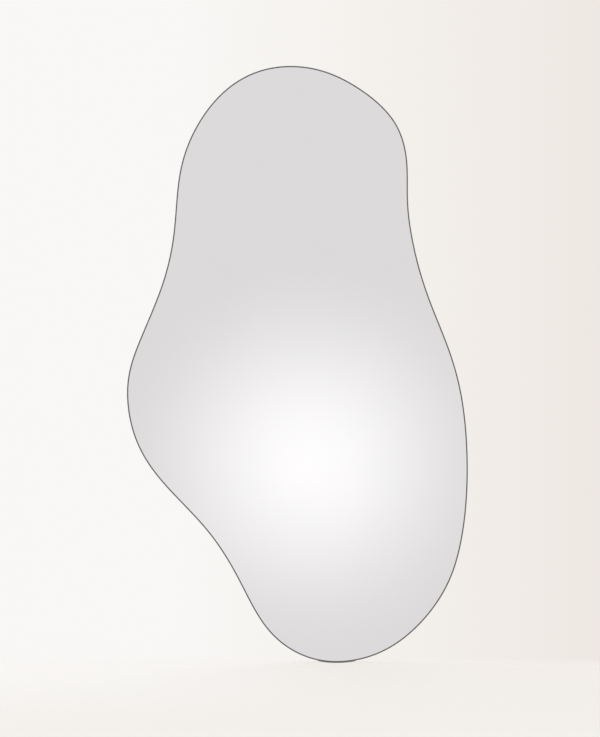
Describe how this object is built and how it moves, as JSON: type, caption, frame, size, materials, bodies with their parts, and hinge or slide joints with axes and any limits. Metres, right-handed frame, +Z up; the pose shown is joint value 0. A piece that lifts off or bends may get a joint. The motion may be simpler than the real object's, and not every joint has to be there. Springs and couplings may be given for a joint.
{
  "type": "irregular shaped mirror",
  "caption": "Tall wall mirror with a flowing free-form outline in a thin metal band, bonded to a back panel that lifts off a hooked wall rail.",
  "frame": {"origin": "middle of the wall rail's back face, on the wall plane, on the upright line through the mirror's centre of area", "axes": "+Z up along the mirror's height, +X to the right seen from the front, -Y out of the wall towards the viewer, +Y into the wall"},
  "size_m": [0.8, 0.027, 1.4013],
  "materials": {
    "band_graphite": "satin graphite powder coat",
    "pad_rubber": "matt grey rubber strip",
    "mirror_glass": "polished float glass, ground arris",
    "silver_coating": "wet-silvered reflective coating",
    "safety_film": "woven-look safety backing film",
    "foam_tape": "white foam mirror tape",
    "silicone_adhesive": "cured neutral silicone",
    "panel_fibreboard": "raw medium-density fibreboard",
    "rail_aluminium": "mill-finish extrusion",
    "screw_zinc": "bright zinc plate",
    "bumper_rubber": "moulded black rubber"
  },
  "bodies": {
    "wall_mount": {"wall_rail": "rail_aluminium"},
    "mirror": {"frame_band": "band_graphite", "foot_pad": "pad_rubber", "mirror_glass": "mirror_glass", "silver_coating": "silver_coating", "safety_film": "safety_film", "tape_strip_1": "foam_tape", "tape_strip_2": "foam_tape", "tape_strip_3": "foam_tape", "tape_strip_4": "foam_tape", "tape_strip_5": "foam_tape", "adhesive_bead_1": "silicone_adhesive", "adhesive_bead_2": "silicone_adhesive", "adhesive_bead_3": "silicone_adhesive", "adhesive_bead_4": "silicone_adhesive", "back_panel": "panel_fibreboard", "frame_lug_01": "band_graphite", "frame_lug_02": "band_graphite", "frame_lug_03": "band_graphite", "frame_lug_04": "band_graphite", "frame_lug_05": "band_graphite", "frame_lug_06": "band_graphite", "frame_lug_07": "band_graphite", "frame_lug_08": "band_graphite", "frame_lug_09": "band_graphite", "frame_lug_10": "band_graphite", "lug_screw_01": "screw_zinc", "lug_screw_02": "screw_zinc", "lug_screw_03": "screw_zinc", "lug_screw_04": "screw_zinc", "lug_screw_05": "screw_zinc", "lug_screw_06": "screw_zinc", "lug_screw_07": "screw_zinc", "lug_screw_08": "screw_zinc", "lug_screw_09": "screw_zinc", "lug_screw_10": "screw_zinc", "hanging_rail": "rail_aluminium", "rail_screw_1": "screw_zinc", "rail_screw_2": "screw_zinc", "rail_screw_3": "screw_zinc", "rail_screw_4": "screw_zinc", "wall_bumper_left": "bumper_rubber", "wall_bumper_right": "bumper_rubber", "wall_bumper_foot": "bumper_rubber", "bumper_screw_left": "screw_zinc", "bumper_screw_right": "screw_zinc", "bumper_screw_foot": "screw_zinc"}
  },
  "joints": [
    {"name": "lift_off", "type": "slide", "parent": "wall_mount", "child": "mirror", "axis": [0, 0, 1], "range_m": [0, 0.012]}
  ]
}
